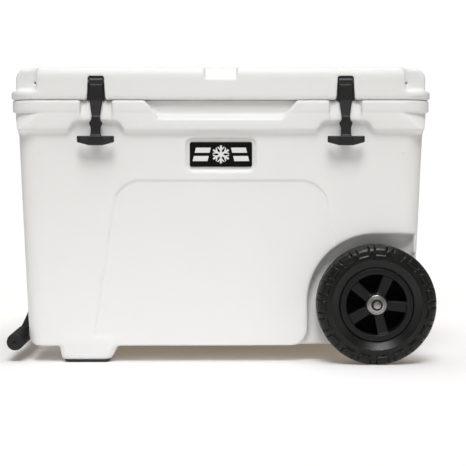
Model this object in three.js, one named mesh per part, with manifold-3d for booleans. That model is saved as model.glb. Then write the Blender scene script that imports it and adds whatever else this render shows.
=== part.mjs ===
// A hard-walled cooler on wheels: a foam-filled tub with two wheels at one end and two feet at the other,
// a hinged lid with two rubber latches, a tow handle that swings up, and a drain with its plug.
// Millimetres. +X is the wheel end, -Y the front with the latches, +Z up. The origin lies on the floor,
// under the middle of the whole cooler.
import * as THREE from "three";
import { mergeVertices } from "three/addons/utils/BufferGeometryUtils.js";
import Module from "manifold-3d";

const wasm = await Module();
wasm.setup();

// Driving dimensions.
const SKIN = 4; // wall of the two hollow moulded shells
const FIT = 0.3; // gap between pieces that touch
const FAR = 500; // a reach well outside the cooler

// Tub outlines from the floor up: [height, half length, half depth, corner radius].
const TUB_OUTLINES = [
  [28, 322, 191, 36],
  [34, 326, 195, 40],
  [384, 340, 205, 40],
  [390, 345, 214.7, 42],
  [419.6, 345, 214.7, 42],
  [420.6, 350, 215, 44],
  [437.7, 350, 215, 44],
];
const TUB_BOTTOM = TUB_OUTLINES[0][0];
const TUB_TOP = TUB_OUTLINES.at(-1)[0];

// Cooling space inside the tub.
const CAVITY_X = -22;
const CAVITY_OUTLINES = [
  [76, 232, 140, 34],
  [86, 236, 144, 38],
  [TUB_TOP + 20, 242, 150, 42],
];

// Lid.
const LID_BOTTOM = 440.7;
const LIP_TOP = 455.4;
const LID_OUTLINES = [
  [LID_BOTTOM, 351, 215, 44],
  [LIP_TOP, 351, 215, 44],
  [LIP_TOP + 0.5, 346, 215, 30],
  [484, 346, 215, 30],
  [495, 333, 204, 24],
];
const LID_PLUG_OUTLINES = [
  [426, 234, 142, 34],
  [LID_BOTTOM + 8, 237, 145, 36],
];
const LID_PLUG_BOTTOM = LID_PLUG_OUTLINES[0][0];
const GASKET = { halfX: 248, halfY: 156, radius: 44, width: 9 };
const CORNER_STEP = { x: 304, y: 167 };
const THUMB_NOTCH = { halfWidth: 26.5, bottom: 472, depth: 14 };

// Lid hinges at the back: one axis, two sets of knuckles.
const HINGE = { y: 223, z: 439, barrel: 12.5, clearance: 14, pinRadius: 4 };
const KNUCKLES = { centre: 240, lidHalf: 21, outerHalf: 50, gap: 1 };

// Rubber latches.
const LATCH = { x: 207, pinY: -207, pinZ: 471, pinRadius: 3, pinHalf: 26, loop: 7.8 };
const LATCH_POCKET = { halfWidth: 14.5, top: 480, back: -196 };
// Stretches of one latch from its loop down: [half width, front, back, low, high].
const LATCH_STRETCHES = [
  [10.5, -214.8, -208.8, 430, LATCH.pinZ], // strap under the loop
  [8, -214.8, -208.8, 410, 431], // narrower strap
  [10.4, -223, -207.5, 395, 412], // knob that catches under the tub's band
  [8, -224, -212, 376, 396], // neck
  [30.7, -232, -219, 365, 381], // T-shaped pull
];
const CHANNEL = { halfWidth: 25.5, bottom: 404, back: -205.5 };
const ARCH = { halfWidth: 43, bottom: 380, back: -203.5 };
const FINGER_RECESS = { topHalf: 125, bottomHalf: 102, bottom: 409, back: -198 };

// Badge and front panel.
const BADGE = { z: 350, width: 104, height: 41.5, thick: 2.4 };
const BADGE_RECESS = { width: 116, height: 56, depth: 3 };

// Wheels and axle.
const AXLE = { x: 259, z: 100, radius: 6.5, halfLength: 234.5 };
const WHEEL = { radius: 100, width: 52, outerFace: 236.5, shoulder: 6 };
const HUB = { rim: 61.5, window: 50, core: 19, spokes: 5, spokeWidth: 18, firstSpoke: -5, disc: 4 };
const HUB_FACES = { inner: 190, outer: 226, webInner: 196, webOuter: 220, rimInner: 187, rimOuter: 231 };
const BEARING = { radius: 14.5, width: 7 };
const WELL = { x: 260, z: 102, radius: 116, wall: 176, footX: 118, footZ: 28 };

// Feet.
const FOOT = { x: -222, y: 140, bottom: 5.6 };
const FOOT_HALF = { bottomX: 37, bottomY: 30, topX: 52, topY: 40 };
const FOOT_SCREW = { spread: 18, radius: 2.5, head: 5, length: 20 };

// Tow handle.
const HANDLE = { armY: 50, tube: 11, eye: 14 };
const HANDLE_PIVOT = [-318, 372]; // each of these three is [x, z]
const HANDLE_KNEE = [-303, 105];
const HANDLE_BAR = [-344.5, 33.7];
const PIVOT = { radius: 6, halfLength: 88, bush: 9 };
const GRIP = { inner: 64, outer: 186, radius: 14.5, bar: 9, cap: 3.7 };
const RECESS = { halfWidth: 75, top: 410, floorBottom: -284, floorTop: -303 };

// Drain.
const DRAIN = { z: 72, bore: 9, pocketX: 303, pocket: 24, head: 19 };
const SUMP = { x: 192, halfWidth: 22, bottom: 60, top: 100 };
const CAVITY_END = CAVITY_X + CAVITY_OUTLINES[0][1];
const FILL_PORT = 12;

// A three.js geometry as a solid that can be joined and cut.
function solidFrom(geometry) {
  const bare = geometry.clone();
  bare.deleteAttribute("normal");
  bare.deleteAttribute("uv");
  const merged = mergeVertices(bare, 1e-4);
  return new wasm.Manifold(
    new wasm.Mesh({
      numProp: 3,
      vertProperties: new Float32Array(merged.attributes.position.array),
      triVerts: new Uint32Array(merged.index.array),
    }),
  );
}

function geometryFrom(solid) {
  const mesh = solid.getMesh();
  const geometry = new THREE.BufferGeometry();
  geometry.setAttribute("position", new THREE.BufferAttribute(mesh.vertProperties, 3));
  geometry.setIndex(new THREE.BufferAttribute(mesh.triVerts, 1));
  geometry.computeVertexNormals();
  return geometry;
}

function join(solids) {
  return solids.reduce((whole, solid) => whole.add(solid));
}

function cut(solid, cutters) {
  return solid.subtract(join(cutters));
}

function block(low, high) {
  const size = high.map((value, axis) => value - low[axis]);
  const geometry = new THREE.BoxGeometry(...size);
  geometry.translate(...low.map((value, axis) => value + size[axis] / 2));
  return solidFrom(geometry);
}

// A round bar along an axis, from low to high on it, centred on the other two coordinates.
function bar(axis, centre, radius, low, high, segments = 12) {
  const geometry = new THREE.CylinderGeometry(radius, radius, high - low, segments);
  if (axis === "x") geometry.rotateZ(-Math.PI / 2).translate((low + high) / 2, centre[0], centre[1]);
  if (axis === "y") geometry.translate(centre[0], (low + high) / 2, centre[1]);
  if (axis === "z") geometry.rotateX(Math.PI / 2).translate(centre[0], centre[1], (low + high) / 2);
  return solidFrom(geometry);
}

function ring(axis, centre, inner, outer, low, high, segments = 12) {
  const hole = bar(axis, centre, inner, low - 1, high + 1, segments);
  return bar(axis, centre, outer, low, high, segments).subtract(hole);
}

// A straight round tube between two points.
function rod(start, end, radius, segments = 10) {
  const from = new THREE.Vector3(...start);
  const along = new THREE.Vector3(...end).sub(from);
  const geometry = new THREE.CylinderGeometry(radius, radius, along.length(), segments);
  const up = new THREE.Vector3(0, 1, 0);
  geometry.applyQuaternion(new THREE.Quaternion().setFromUnitVectors(up, along.clone().normalize()));
  geometry.translate(...from.addScaledVector(along, 0.5).toArray());
  return solidFrom(geometry);
}

function ball(centre, radius) {
  return solidFrom(new THREE.SphereGeometry(radius, 10, 6).translate(...centre));
}

// An outline in the X-Z plane, carried through the cooler along Y.
function prismAlongY(shape, low, high) {
  const options = { depth: high - low, bevelEnabled: false, curveSegments: 6 };
  const geometry = new THREE.ExtrudeGeometry(shape, options);
  geometry.rotateX(Math.PI / 2).translate(0, high, 0);
  return solidFrom(geometry);
}

function polygon(points) {
  return new THREE.Shape(points.map(([x, y]) => new THREE.Vector2(x, y)));
}

// Corner points of a rounded rectangle, anticlockwise.
function roundedRectangle(centreX, centreY, halfLength, halfDepth, radius, steps = 3) {
  const points = [];
  for (let corner = 0; corner < 4; corner += 1) {
    const sideX = corner === 0 || corner === 3 ? 1 : -1;
    const sideY = corner < 2 ? 1 : -1;
    for (let step = 0; step <= steps; step += 1) {
      const angle = ((corner + step / steps) * Math.PI) / 2;
      points.push([
        centreX + sideX * (halfLength - radius) + radius * Math.cos(angle),
        centreY + sideY * (halfDepth - radius) + radius * Math.sin(angle),
      ]);
    }
  }
  return points;
}

// A solid through level outlines, each [height, half length, half depth, corner radius].
function loft(outlines, centreX = 0, centreY = 0) {
  const levels = outlines.map(([, length, depth, radius]) =>
    roundedRectangle(centreX, centreY, length, depth, radius),
  );
  const count = levels[0].length;
  const positions = levels.flatMap((points, level) =>
    points.flatMap(([x, y]) => [x, y, outlines[level][0]]),
  );
  const faces = [];
  for (let level = 0; level + 1 < levels.length; level += 1) {
    for (let i = 0; i < count; i += 1) {
      const a = level * count + i;
      const b = level * count + ((i + 1) % count);
      faces.push(a, b, b + count, a, b + count, a + count);
    }
  }
  const top = (levels.length - 1) * count;
  for (let i = 1; i + 1 < count; i += 1) {
    faces.push(0, i + 1, i);
    faces.push(top, top + i, top + i + 1);
  }
  const geometry = new THREE.BufferGeometry();
  geometry.setAttribute("position", new THREE.Float32BufferAttribute(positions, 3));
  geometry.setIndex(faces);
  return solidFrom(geometry);
}

// Outlines moved inwards by inset: the sides shrink, levels before firstUpper rise and the others drop.
function insetOutlines(outlines, inset, firstUpper) {
  return outlines.map(([height, length, depth, radius], level) => [
    height + (level < firstUpper ? inset : -inset),
    length - inset,
    depth - inset,
    Math.max(radius - inset, 4),
  ]);
}

// What make gives for the negative and for the positive side.
function bothSides(make) {
  return [make(-1), make(1)];
}

// Spans along X of the lid's knuckles and of the tub's, for each hinge.
function knuckleSpans(side) {
  const centre = side * KNUCKLES.centre;
  const { lidHalf, outerHalf, gap } = KNUCKLES;
  return {
    lid: [[centre - lidHalf, centre + lidHalf]],
    tub: [
      [centre - outerHalf, centre - lidHalf - gap],
      [centre + lidHalf + gap, centre + outerHalf],
    ],
  };
}

function knuckleCutters(owner, inset) {
  const spans = bothSides((side) => knuckleSpans(side)[owner]).flat();
  const reach = KNUCKLES.gap + inset;
  return spans.map(([low, high]) =>
    bar("x", [HINGE.y, HINGE.z], HINGE.clearance + inset, low - reach, high + reach),
  );
}

// Wheel well seen from the side: a round arch that opens to the end of the tub.
function wellShape(inset) {
  const shape = new THREE.Shape();
  const radius = WELL.radius + inset;
  shape.moveTo(WELL.footX - inset, -FAR);
  shape.lineTo(WELL.footX - inset, WELL.footZ);
  shape.quadraticCurveTo(WELL.x - radius, WELL.footZ + 12, WELL.x - radius, WELL.z);
  shape.absarc(WELL.x, WELL.z, radius, Math.PI, Math.PI / 2, true);
  shape.lineTo(FAR, WELL.z + radius);
  shape.lineTo(FAR, -FAR);
  shape.closePath();
  return shape;
}

function fingerRecessShape(inset) {
  const { topHalf, bottomHalf, bottom } = FINGER_RECESS;
  return polygon([
    [-bottomHalf - inset, bottom - inset],
    [bottomHalf + inset, bottom - inset],
    [topHalf + inset, TUB_TOP + 5],
    [-topHalf - inset, TUB_TOP + 5],
  ]);
}

// A moulded foot under the handle end, tapering to its rubber pad.
function foot(side, inset) {
  const outlines = [
    [FOOT.bottom + inset, FOOT_HALF.bottomX - inset, FOOT_HALF.bottomY - inset, 8],
    [TUB_BOTTOM + inset + 4, FOOT_HALF.topX - inset, FOOT_HALF.topY - inset, 12],
  ];
  return loft(outlines, FOOT.x, side * FOOT.y);
}

function footScrewPlaces() {
  return bothSides((side) =>
    bothSides((end) => [FOOT.x + end * FOOT_SCREW.spread, side * FOOT.y]),
  ).flat();
}

// Everything that is cut from the tub's outer form; each cut grows by inset.
function tubCutters(inset) {
  const frontCut = (shape, back) => prismAlongY(shape, -FAR, back + inset);
  const wells = [
    prismAlongY(wellShape(inset), -FAR, -WELL.wall + inset),
    prismAlongY(wellShape(inset), WELL.wall - inset, FAR),
  ];
  const cavityOutlines = CAVITY_OUTLINES.map(([height, length, depth, radius], level) => [
    height - (level < 2 ? inset : 0),
    length + inset,
    depth + inset,
    radius + inset,
  ]);
  const channels = bothSides((side) => {
    const x = side * LATCH.x;
    return join([
      frontCut(
        polygon([
          [x - CHANNEL.halfWidth - inset, CHANNEL.bottom - 1],
          [x + CHANNEL.halfWidth + inset, CHANNEL.bottom - 1],
          [x + CHANNEL.halfWidth + inset, TUB_TOP + 5],
          [x - CHANNEL.halfWidth - inset, TUB_TOP + 5],
        ]),
        CHANNEL.back,
      ),
      frontCut(
        polygon([
          [x - ARCH.halfWidth - inset, ARCH.bottom - inset],
          [x + ARCH.halfWidth + inset, ARCH.bottom - inset],
          [x + ARCH.halfWidth - 10 + inset, CHANNEL.bottom + inset],
          [x - ARCH.halfWidth + 10 - inset, CHANNEL.bottom + inset],
        ]),
        ARCH.back,
      ),
    ]);
  });
  const recess = prismAlongY(
    polygon([
      [-FAR, -FAR],
      [RECESS.floorBottom + inset, -FAR],
      [RECESS.floorBottom + inset, TUB_BOTTOM],
      [RECESS.floorTop + inset, RECESS.top + inset],
      [-FAR, RECESS.top + inset],
    ]),
    -RECESS.halfWidth - inset,
    RECESS.halfWidth + inset,
  );
  const screws = footScrewPlaces().map(([x, y]) =>
    bar("z", [x, y], FOOT_SCREW.radius + FIT + inset, -1, FOOT_SCREW.length + 4 + inset, 8),
  );
  const badgeHalfX = BADGE_RECESS.width / 2 + inset;
  const badgeHalfZ = BADGE_RECESS.height / 2 + inset;
  const pivotReach = PIVOT.halfLength + 1 + inset;
  return [
    ...wells,
    loft(cavityOutlines, CAVITY_X, 0),
    ...channels,
    frontCut(fingerRecessShape(inset), FINGER_RECESS.back),
    recess,
    ...screws,
    ...knuckleCutters("lid", inset),
    block(
      [-badgeHalfX, -FAR, BADGE.z - badgeHalfZ],
      [badgeHalfX, badgeBack() + inset, BADGE.z + badgeHalfZ],
    ),
    bar("y", [AXLE.x, AXLE.z], AXLE.radius + FIT + inset, -FAR, FAR),
    bar("y", HANDLE_PIVOT, PIVOT.radius + FIT + inset, -pivotReach, pivotReach),
    bar("x", [0, DRAIN.z], DRAIN.bore + inset, SUMP.x, FAR),
    bar("x", [0, DRAIN.z], DRAIN.pocket + inset, DRAIN.pocketX - inset, FAR),
    block(
      [SUMP.x - inset, -SUMP.halfWidth - inset, SUMP.bottom - inset],
      [CAVITY_END + inset, SUMP.halfWidth + inset, SUMP.top],
    ),
  ];
}

// Depth of the front wall at a height, between the outlines of the plain wall.
function frontWallY(height) {
  const [lowZ, , lowDepth] = TUB_OUTLINES[1];
  const [highZ, , highDepth] = TUB_OUTLINES[2];
  return -(lowDepth + ((highDepth - lowDepth) * (height - lowZ)) / (highZ - lowZ));
}

function badgeBack() {
  return frontWallY(BADGE.z - BADGE_RECESS.height / 2) + BADGE_RECESS.depth;
}

function tubForm(inset) {
  const outlines = insetOutlines(TUB_OUTLINES, inset, TUB_OUTLINES.length - 1);
  const whole = join([loft(outlines), ...bothSides((side) => foot(side, inset))]);
  return cut(whole, tubCutters(inset));
}

function tubShell() {
  const knuckles = bothSides((side) => knuckleSpans(side).tub)
    .flat()
    .flatMap(([low, high]) => [
      bar("x", [HINGE.y, HINGE.z], HINGE.barrel, low, high),
      block([low, 211.5, 424], [high, HINGE.y + 9, 432]),
    ]);
  const hollow = tubForm(0).subtract(tubForm(SKIN));
  return cut(join([hollow, ...knuckles]), [
    bar("x", [HINGE.y, HINGE.z], HINGE.pinRadius + FIT, -FAR, FAR),
    bar("z", [0, 0], FILL_PORT, TUB_BOTTOM - 2, TUB_BOTTOM + SKIN + 2),
  ]);
}

// The lid, or the foam inside it, with every cut grown by inset.
function lidForm(inset) {
  const plugOutlines = LID_PLUG_OUTLINES.map(([height, length, depth, radius]) => [
    height + inset,
    length - inset,
    depth - inset,
    radius - inset,
  ]);
  const slab = loft(insetOutlines(LID_OUTLINES, inset, 1));
  const whole = join([slab, loft(plugOutlines, CAVITY_X, 0)]);
  const corners = bothSides((sideX) =>
    bothSides((sideY) => {
      const x = sideX * (CORNER_STEP.x - inset);
      const y = sideY * (CORNER_STEP.y - inset);
      const low = [sideX < 0 ? -FAR : x, sideY < 0 ? -FAR : y, LIP_TOP - inset];
      const high = [sideX < 0 ? x : FAR, sideY < 0 ? y : FAR, FAR * 2];
      return block(low, high);
    }),
  ).flat();
  const pockets = bothSides((side) => {
    const x = side * LATCH.x;
    const half = LATCH_POCKET.halfWidth + inset;
    const pinHalf = LATCH.pinHalf + FIT + inset;
    const pinBore = LATCH.pinRadius + FIT + inset;
    return join([
      block(
        [x - half, -FAR, LID_BOTTOM - 5],
        [x + half, LATCH_POCKET.back + inset, LATCH_POCKET.top + inset],
      ),
      bar("x", [LATCH.pinY, LATCH.pinZ], pinBore, x - pinHalf, x + pinHalf),
    ]);
  });
  const notchFront = -LID_OUTLINES[0][2];
  const notch = block(
    [-THUMB_NOTCH.halfWidth - inset, -FAR, THUMB_NOTCH.bottom - inset],
    [THUMB_NOTCH.halfWidth + inset, notchFront + THUMB_NOTCH.depth + inset, FAR * 2],
  );
  return cut(whole, [...corners, ...pockets, notch, ...knuckleCutters("tub", inset)]);
}

function lidShell() {
  const knuckles = bothSides((side) => knuckleSpans(side).lid)
    .flat()
    .flatMap(([low, high]) => [
      bar("x", [HINGE.y, HINGE.z], HINGE.barrel, low, high),
      block([low, 211.5, LID_BOTTOM + 3], [high, HINGE.y + 9, LID_BOTTOM + 7]),
    ]);
  const hollow = lidForm(0).subtract(lidForm(SKIN));
  return cut(join([hollow, ...knuckles]), [
    bar("x", [HINGE.y, HINGE.z], HINGE.pinRadius + FIT, -FAR, FAR),
    bar("z", [CAVITY_X, 0], FILL_PORT, LID_PLUG_BOTTOM - 2, LID_PLUG_BOTTOM + SKIN + 2),
  ]);
}

function lidGasket() {
  const frame = (grow, low, high) => {
    const size = [GASKET.halfX + grow, GASKET.halfY + grow, GASKET.radius + grow];
    return loft([[low, ...size], [high, ...size]], CAVITY_X, 0);
  };
  const low = TUB_TOP + FIT;
  const high = LID_BOTTOM - FIT;
  return frame(GASKET.width, low, high).subtract(frame(0, low - 1, high + 1));
}

function latchStrap(side) {
  const x = side * LATCH.x;
  const stretches = LATCH_STRETCHES.map(([half, front, back, low, high]) =>
    block([x - half, front, low], [x + half, back, high]),
  );
  const [loopHalf] = LATCH_STRETCHES[0];
  const pin = [LATCH.pinY, LATCH.pinZ];
  const loop = bar("x", pin, LATCH.loop, x - loopHalf, x + loopHalf);
  const hole = bar("x", pin, LATCH.pinRadius + FIT, x - LATCH.pinHalf, x + LATCH.pinHalf);
  return join([loop, ...stretches]).subtract(hole);
}

function tyre(side) {
  const half = WHEEL.width / 2;
  const inner = HUB.rim + FIT;
  const outer = WHEEL.radius;
  const profile = [
    [inner, -half + 6],
    [74, -half + 2],
    [84, -half],
    [outer - WHEEL.shoulder, -half],
    [outer, -half + WHEEL.shoulder],
    [outer, half - WHEEL.shoulder],
    [outer - WHEEL.shoulder, half],
    [84, half],
    [74, half - 2],
    [inner, half - 6],
    [inner, -half + 6],
  ].map(([radius, y]) => new THREE.Vector2(radius, y));
  const geometry = new THREE.LatheGeometry(profile, 36);
  geometry.translate(AXLE.x, side * (WHEEL.outerFace - half), AXLE.z);
  return solidFrom(geometry);
}

function span(side, near, far) {
  return side > 0 ? [near, far] : [-far, -near];
}

function wheelHub(side) {
  const centre = [AXLE.x, AXLE.z];
  const { inner, outer, webInner, webOuter, rimInner, rimOuter } = HUB_FACES;
  const along = (axisRadius, near, far) => bar("y", centre, axisRadius, ...span(side, near, far));
  const rim = ring("y", centre, HUB.window, HUB.rim, ...span(side, rimInner, rimOuter), 32);
  const web = span(side, webInner, webOuter);
  const spokes = Array.from({ length: HUB.spokes }, (_, index) => {
    const angle = THREE.MathUtils.degToRad(HUB.firstSpoke) + (index * 2 * Math.PI) / HUB.spokes;
    const low = HUB.core - 8;
    const high = HUB.window + 4;
    const geometry = new THREE.BoxGeometry(high - low, web[1] - web[0], HUB.spokeWidth);
    geometry.translate((high + low) / 2, 0, 0);
    geometry.rotateY(-angle);
    geometry.translate(AXLE.x, (web[0] + web[1]) / 2, AXLE.z);
    return solidFrom(geometry);
  });
  const backDisc = along(HUB.window + 4, webInner, webInner + HUB.disc);
  return cut(join([rim, backDisc, along(HUB.core, inner, outer), ...spokes]), [
    along(AXLE.radius + 2.5, inner - 1, outer + 1),
    along(BEARING.radius + FIT, inner - 1, inner + BEARING.width),
    along(BEARING.radius + FIT, outer - BEARING.width, outer + 1),
  ]);
}

function handleFrame() {
  const { armY, tube, eye } = HANDLE;
  const arms = bothSides((side) => {
    const y = side * armY;
    const [pivot, knee, elbow] = [HANDLE_PIVOT, HANDLE_KNEE, HANDLE_BAR].map(([x, z]) => [x, y, z]);
    return join([
      rod(pivot, knee, tube),
      ball(knee, tube),
      rod(knee, elbow, tube),
      ball(elbow, tube),
      bar("y", HANDLE_PIVOT, eye, y - tube, y + tube),
    ]);
  });
  const crossBar = join([
    bar("y", HANDLE_BAR, GRIP.bar, -GRIP.outer, GRIP.outer),
    bar("y", HANDLE_BAR, tube, -armY, armY),
  ]);
  const hole = bar("y", HANDLE_PIVOT, PIVOT.bush + FIT, -armY - tube - 1, armY + tube + 1);
  return join([...arms, crossBar]).subtract(hole);
}

// Materials.
function finish(color, roughness, metalness = 0) {
  return new THREE.MeshStandardMaterial({ color, roughness, metalness });
}

const WHITE_PLASTIC = finish(0xf2f3f2, 0.45);
const BLACK_PLASTIC = finish(0x1c1c1e, 0.5);
const RUBBER = finish(0x151515, 0.8);
const FOAM = finish(0xe8dfb8, 0.95);
const STEEL = finish(0xb9bcc0, 0.3, 1);
const ALUMINIUM = finish(0xa9acb0, 0.4, 1);

const cooler = new THREE.Group();

function add(name, solid, material) {
  const mesh = new THREE.Mesh(geometryFrom(solid), material);
  mesh.name = name;
  cooler.add(mesh);
}

const SIDES = [
  ["front", -1],
  ["back", 1],
];
const ENDS = [
  ["left", -1],
  ["right", 1],
];

function addTub() {
  add("tub_shell", tubShell(), WHITE_PLASTIC);
  add("tub_foam", tubForm(SKIN + FIT), FOAM);
  const plug = bar("z", [0, 0], FILL_PORT - FIT, TUB_BOTTOM + FIT, TUB_BOTTOM + SKIN - FIT);
  add("tub_fill_plug", plug, BLACK_PLASTIC);
  const badgeY = badgeBack() - FIT;
  const badge = block(
    [-BADGE.width / 2, badgeY - BADGE.thick, BADGE.z - BADGE.height / 2],
    [BADGE.width / 2, badgeY, BADGE.z + BADGE.height / 2],
  );
  add("badge_plate", badge, BLACK_PLASTIC);
}

function addFeet() {
  const padTop = FOOT.bottom - FIT;
  const headTop = 3;
  for (const [name, side] of SIDES) {
    const outlines = [
      [0, FOOT_HALF.bottomX - 1.5, FOOT_HALF.bottomY - 1.5, 8],
      [padTop, FOOT_HALF.bottomX, FOOT_HALF.bottomY, 8],
    ];
    const holes = footScrewPlaces().flatMap((place) => [
      bar("z", place, FOOT_SCREW.radius + FIT, -1, padTop + 1, 8),
      bar("z", place, FOOT_SCREW.head + FIT, -1, headTop, 8),
    ]);
    add("foot_pad_" + name, cut(loft(outlines, FOOT.x, side * FOOT.y), holes), RUBBER);
  }
  footScrewPlaces().forEach((place, index) => {
    const screw = join([
      bar("z", place, FOOT_SCREW.radius, 1, FOOT_SCREW.length, 8),
      bar("z", place, FOOT_SCREW.head, 0.8, headTop - FIT, 8),
    ]);
    add("foot_screw_" + (index + 1), screw, STEEL);
  });
}

function addWheels() {
  const centre = [AXLE.x, AXLE.z];
  const bore = AXLE.radius + FIT;
  const { inner, outer } = HUB_FACES;
  add("axle", bar("y", centre, AXLE.radius, -AXLE.halfLength, AXLE.halfLength), STEEL);
  for (const [name, side] of SIDES) {
    const around = (radius, near, far) => ring("y", centre, bore, radius, ...span(side, near, far));
    const { radius, width } = BEARING;
    add("tyre_" + name, tyre(side), RUBBER);
    add("wheel_hub_" + name, wheelHub(side), BLACK_PLASTIC);
    add("bearing_inner_" + name, around(radius, inner + FIT, inner + width - FIT), STEEL);
    add("bearing_outer_" + name, around(radius, outer - width + FIT, outer - FIT), STEEL);
    add("axle_spacer_" + name, around(12, WELL.wall + FIT, inner - FIT), BLACK_PLASTIC);
    add("axle_washer_" + name, around(16, outer + FIT, outer + FIT + 1.6), STEEL);
    add("axle_clip_" + name, around(9.5, outer + 2.5, outer + 5.5), BLACK_PLASTIC);
  }
}

function addLid() {
  add("lid_shell", lidShell(), WHITE_PLASTIC);
  add("lid_foam", lidForm(SKIN + FIT), FOAM);
  const plugSpan = [LID_PLUG_BOTTOM + FIT, LID_PLUG_BOTTOM + SKIN - FIT];
  add("lid_fill_plug", bar("z", [CAVITY_X, 0], FILL_PORT - FIT, ...plugSpan), BLACK_PLASTIC);
  add("lid_gasket", lidGasket(), RUBBER);
  for (const [name, side] of ENDS) {
    const hinge = [side * KNUCKLES.centre, KNUCKLES.outerHalf - 1];
    const latch = [side * LATCH.x, LATCH.pinHalf];
    const pin = (at, radius, [x, half]) => bar("x", at, radius, x - half, x + half);
    add("hinge_pin_" + name, pin([HINGE.y, HINGE.z], HINGE.pinRadius, hinge), STEEL);
    add("latch_pin_" + name, pin([LATCH.pinY, LATCH.pinZ], LATCH.pinRadius, latch), STEEL);
    add("latch_strap_" + name, latchStrap(side), RUBBER);
  }
}

function addHandle() {
  const capSpan = [GRIP.outer + FIT, GRIP.outer + FIT + GRIP.cap];
  add("handle_frame", handleFrame(), ALUMINIUM);
  add("handle_pivot_rod", bar("y", HANDLE_PIVOT, PIVOT.radius, -PIVOT.halfLength, PIVOT.halfLength), STEEL);
  for (const [name, side] of SIDES) {
    const { armY, tube } = HANDLE;
    const around = (at, inner, outer, near, far) => ring("y", at, inner, outer, ...span(side, near, far));
    const bush = around(HANDLE_PIVOT, PIVOT.radius + FIT, PIVOT.bush, armY - tube, armY + tube);
    const grip = around(HANDLE_BAR, GRIP.bar + FIT, GRIP.radius, GRIP.inner, GRIP.outer);
    add("handle_bush_" + name, bush, BLACK_PLASTIC);
    add("grip_" + name, grip, RUBBER);
    add("grip_cap_" + name, around(HANDLE_BAR, 2.5, GRIP.radius - 0.5, ...capSpan), BLACK_PLASTIC);
  }
}

function addDrain() {
  const centre = [0, DRAIN.z];
  const wall = DRAIN.pocketX;
  const plug = join([
    bar("x", centre, 5.7, wall - 24, wall + 8),
    bar("x", centre, DRAIN.head, wall + 3.1, wall + 13),
  ]);
  add("drain_insert", ring("x", centre, 6, DRAIN.bore - FIT, CAVITY_END + 4, wall - FIT), BLACK_PLASTIC);
  add("drain_gasket", ring("x", centre, 6.5, 13, wall + FIT, wall + 2.8), RUBBER);
  add("drain_plug", plug, BLACK_PLASTIC);
}

addTub();
addFeet();
addWheels();
addLid();
addHandle();
addDrain();

export default cooler;
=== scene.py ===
"""The looks of a hard-walled cooler on wheels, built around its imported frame.

Moulded pieces are made in millimetres as distance fields: a function gives each point's distance from a
surface, forms are joined and carved with rounded edges, and the surface where the field is zero is meshed.
A slanted plane's formula is multiplied by the cosine of its slant, which keeps it a distance.
Round pieces are turned from a profile. +X is the wheel end, -Y the front, +Z up.
"""
import math

import bpy
import numpy as np
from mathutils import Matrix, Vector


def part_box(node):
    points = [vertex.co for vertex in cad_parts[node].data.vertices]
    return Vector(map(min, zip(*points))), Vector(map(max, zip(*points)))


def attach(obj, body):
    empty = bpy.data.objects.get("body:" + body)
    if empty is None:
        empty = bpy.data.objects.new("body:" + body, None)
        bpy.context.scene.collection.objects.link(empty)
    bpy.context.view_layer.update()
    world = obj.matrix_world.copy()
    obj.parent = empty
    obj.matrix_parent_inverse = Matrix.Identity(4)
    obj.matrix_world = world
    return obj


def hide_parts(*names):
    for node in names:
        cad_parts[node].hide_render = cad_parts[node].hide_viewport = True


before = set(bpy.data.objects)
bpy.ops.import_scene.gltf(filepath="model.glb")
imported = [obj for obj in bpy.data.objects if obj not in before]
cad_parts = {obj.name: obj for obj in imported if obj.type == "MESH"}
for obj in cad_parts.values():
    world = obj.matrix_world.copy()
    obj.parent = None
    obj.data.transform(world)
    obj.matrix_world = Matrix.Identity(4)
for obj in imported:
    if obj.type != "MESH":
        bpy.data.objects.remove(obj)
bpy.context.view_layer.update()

import openvdb
from mathutils import Vector

MM = 0.001
COARSE = 1.0


# --- Places and sizes, in millimetres ------------------------------------------------------------

def node_box(node):
    """A frame node's lowest and highest corners."""
    low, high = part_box(node)
    return np.array(low) / MM, np.array(high) / MM


def node_centre(node):
    low, high = node_box(node)
    return (low + high) / 2


SIDES = {"front": -1, "back": 1}
ENDS = {"left": -1, "right": 1}

GASKET_LOW, GASKET_HIGH = node_box("lid_gasket")
SEAL_ROOM = 0.3  # between the gasket and the shell on each side of it
SHELL_WALL = 4.3  # thickness of both shells over their foam
TUB_BOTTOM, TUB_TOP = 28.0, GASKET_LOW[2] - SEAL_ROOM
# The wall leans outwards: its half length and half depth at DRAFT_LEVEL, and at DRAFT_HEIGHT above that.
DRAFT_LEVEL, DRAFT_HEIGHT = 34.0, 350.0
WALL_LOW, WALL_HIGH = (326.0, 195.0), (340.0, 205.0)
WALL_CORNER = 36.0
PANEL_TOP, PANEL_TOP_HALF, PANEL_CORNER, PANEL_STEP = 307.0, 173.0, 38.0, 2.4
BAND_BOTTOM = 389.0
LIP_BOTTOM = 419.6
TUB_LIP = (350.0, 215.2)  # half length and half depth
LIP_CORNER = 44.0
CHANNEL_HALF = 26.5  # half width of a latch channel
CAVITY_X = (GASKET_LOW[0] + GASKET_HIGH[0]) / 2
LID_BOTTOM = GASKET_HIGH[2] + SEAL_ROOM
LID_TOP = node_box("lid_shell")[1][2]
LID_LIP_TOP = 455.4
LID_LIP_HALF, LID_TOP_HALF = 352.0, 346.0  # half lengths
POCKET_HALF, POCKET_TOP, POCKET_FLARE = 13, 480, 0.062  # of a latch's pocket, which widens downwards
LATCH_HALF = 11.8  # half width of the latch's backing at the pocket's top
FILL_PORT = 12.0  # radius of the foam's filling port in each shell
HINGE_Y, HINGE_Z = node_centre("hinge_pin_left")[1:]
HINGE_X = node_centre("hinge_pin_right")[0]
KNUCKLE, KNUCKLE_GAP, KNUCKLE_CLEARANCE = 12.5, 1.0, 14.0
LID_KNUCKLE_HALF, HINGE_HALF = 21.0, 50.0
HINGE_BORE, LATCH_PIN_BORE, AXLE_BORE = 4.3, 3.3, 6.9  # radii
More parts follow.
